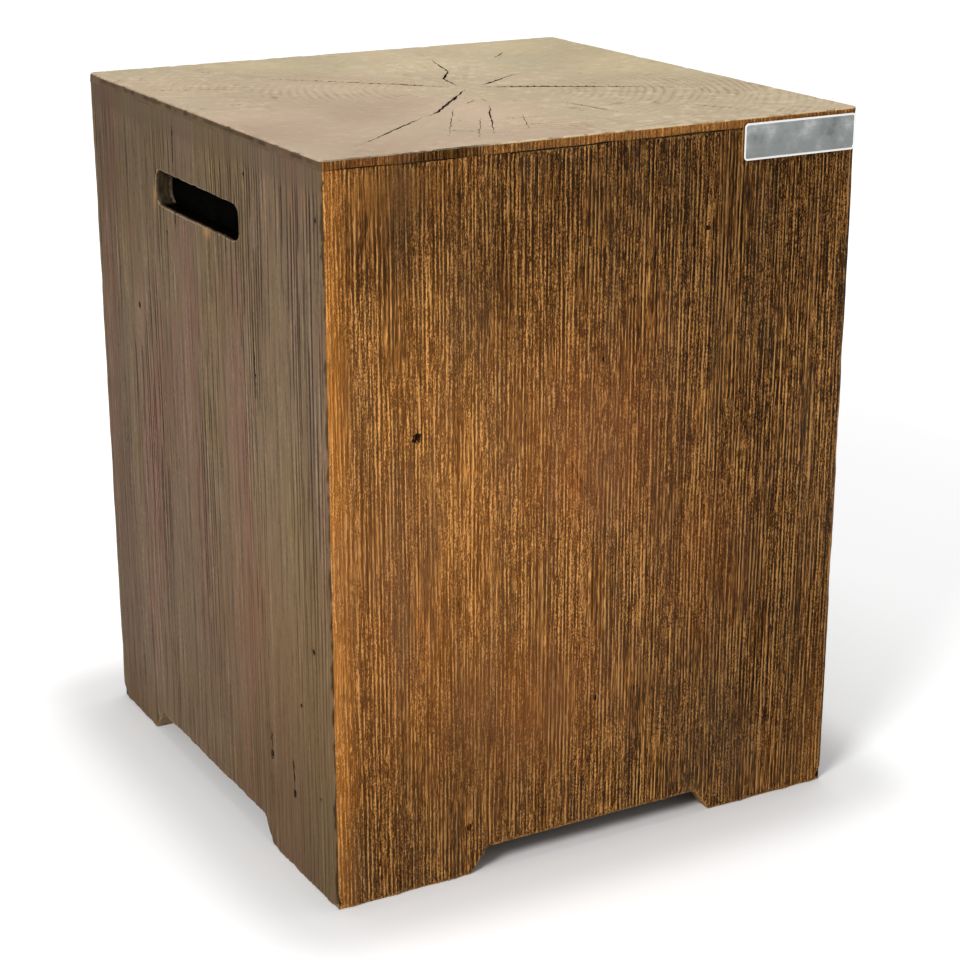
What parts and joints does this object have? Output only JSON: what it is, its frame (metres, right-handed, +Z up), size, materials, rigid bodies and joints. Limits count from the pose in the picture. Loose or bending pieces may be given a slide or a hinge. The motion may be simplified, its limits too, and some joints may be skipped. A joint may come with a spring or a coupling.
{
  "type": "propane tank cover table",
  "caption": "Square side table that hides a gas tank: cast wood-look panels, open below, hand-holds in both sides, low arches between its feet.",
  "frame": {"origin": "centre of the footprint on the floor", "axes": "+Z up, front (the wall with the badge) towards -Y, left side towards -X"},
  "size_m": [0.406, 0.4077, 0.508],
  "materials": {
    "cast_top": "matte cast composite, pale end-grain wood finish",
    "cast_front": "matte cast composite, brown rough-sawn wood finish",
    "cast_side": "matte cast composite, weathered grey-brown wood finish",
    "bed_adhesive": "matte dark brown",
    "bond_adhesive": "matte",
    "galvanised_steel": "satin zinc",
    "screw_steel": "satin zinc",
    "insert_brass": "satin",
    "badge_metal": "satin brushed",
    "badge_foam": "matte"
  },
  "bodies": {
    "root": {"back_wall": "cast_front", "badge_pad": "badge_foam", "badge_plate": "badge_metal", "cleat_wall_inserts": "insert_brass", "cleat_wall_screws": "screw_steel", "corner_angle_back_left": "galvanised_steel", "corner_angle_back_right": "galvanised_steel", "corner_angle_front_left": "galvanised_steel", "corner_angle_front_right": "galvanised_steel", "corner_inserts": "insert_brass", "corner_screws": "screw_steel", "front_wall": "cast_front", "left_wall": "cast_side", "mitre_bond_back_left": "bond_adhesive", "mitre_bond_back_right": "bond_adhesive", "mitre_bond_front_left": "bond_adhesive", "mitre_bond_front_right": "bond_adhesive", "right_wall": "cast_side", "slab_bed": "bed_adhesive", "slab_inserts": "insert_brass", "slab_screws": "screw_steel", "top_cleat_back": "galvanised_steel", "top_cleat_front": "galvanised_steel", "top_cleat_left": "galvanised_steel", "top_cleat_right": "galvanised_steel", "top_slab": "cast_top"}
  },
  "joints": []
}
